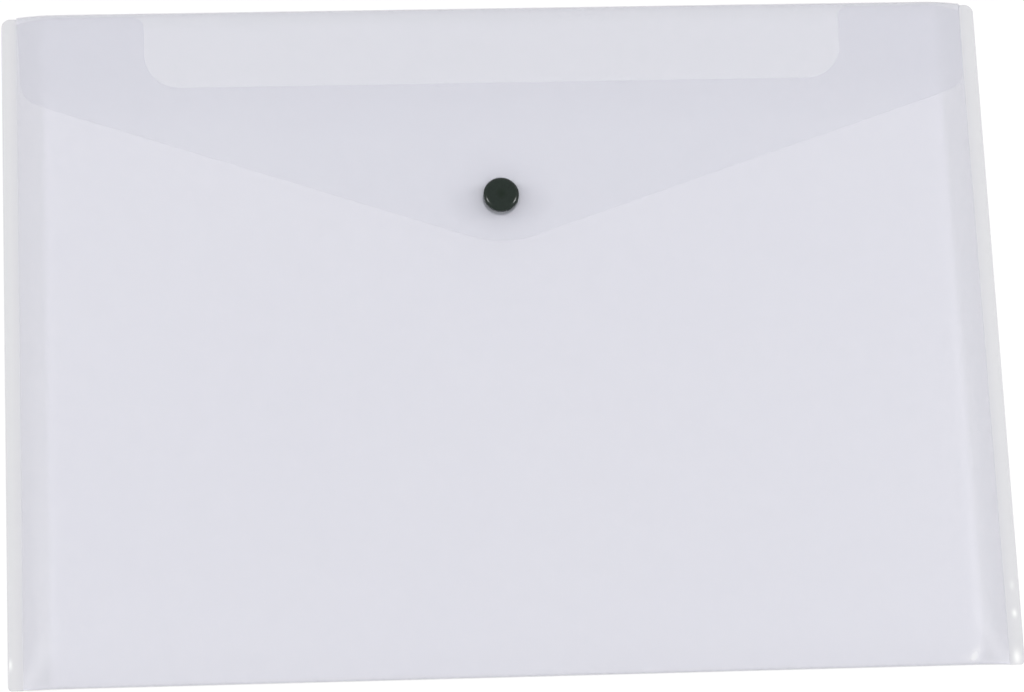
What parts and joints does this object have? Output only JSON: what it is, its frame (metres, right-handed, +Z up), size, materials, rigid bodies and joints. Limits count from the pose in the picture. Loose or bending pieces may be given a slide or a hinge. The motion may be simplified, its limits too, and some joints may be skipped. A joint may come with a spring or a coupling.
{
  "type": "document wallet",
  "caption": "Flat document wallet of clear film: a landscape pocket welded along its sides, closed by a V-shaped flap on a living hinge with a press stud.",
  "frame": {"origin": "under the middle of the wallet, on the plane that the back panel rests on", "axes": "+X across the wallet's width, +Y from the bottom fold up to the flap's crease, +Z up out of the front"},
  "size_m": [0.335, 0.235, 0.0109],
  "materials": {
    "clear_film": "clear polypropylene film, faintly frosted",
    "welded_film": "two sheets of the film melted together, pressed smooth",
    "flap_film": "clear polypropylene film, faintly frosted",
    "stud": "black moulded acetal, glossy"
  },
  "bodies": {
    "wallet": {"back_panel": "clear_film", "bottom_fold": "clear_film", "front_panel": "clear_film", "left_side_weld": "welded_film", "right_side_weld": "welded_film", "flap_crease": "flap_film", "stud_ball": "stud", "inner_cap": "stud"},
    "flap": {"flap": "flap_film", "stud_cap": "stud", "stud_socket": "stud"}
  },
  "joints": [
    {"name": "flap_hinge", "type": "hinge", "parent": "wallet", "child": "flap", "pos_m": [0, 0.114, 0.0035], "axis": [-1, 0, 0], "range_deg": [0, 175], "deforming": ["flap_crease"]}
  ]
}
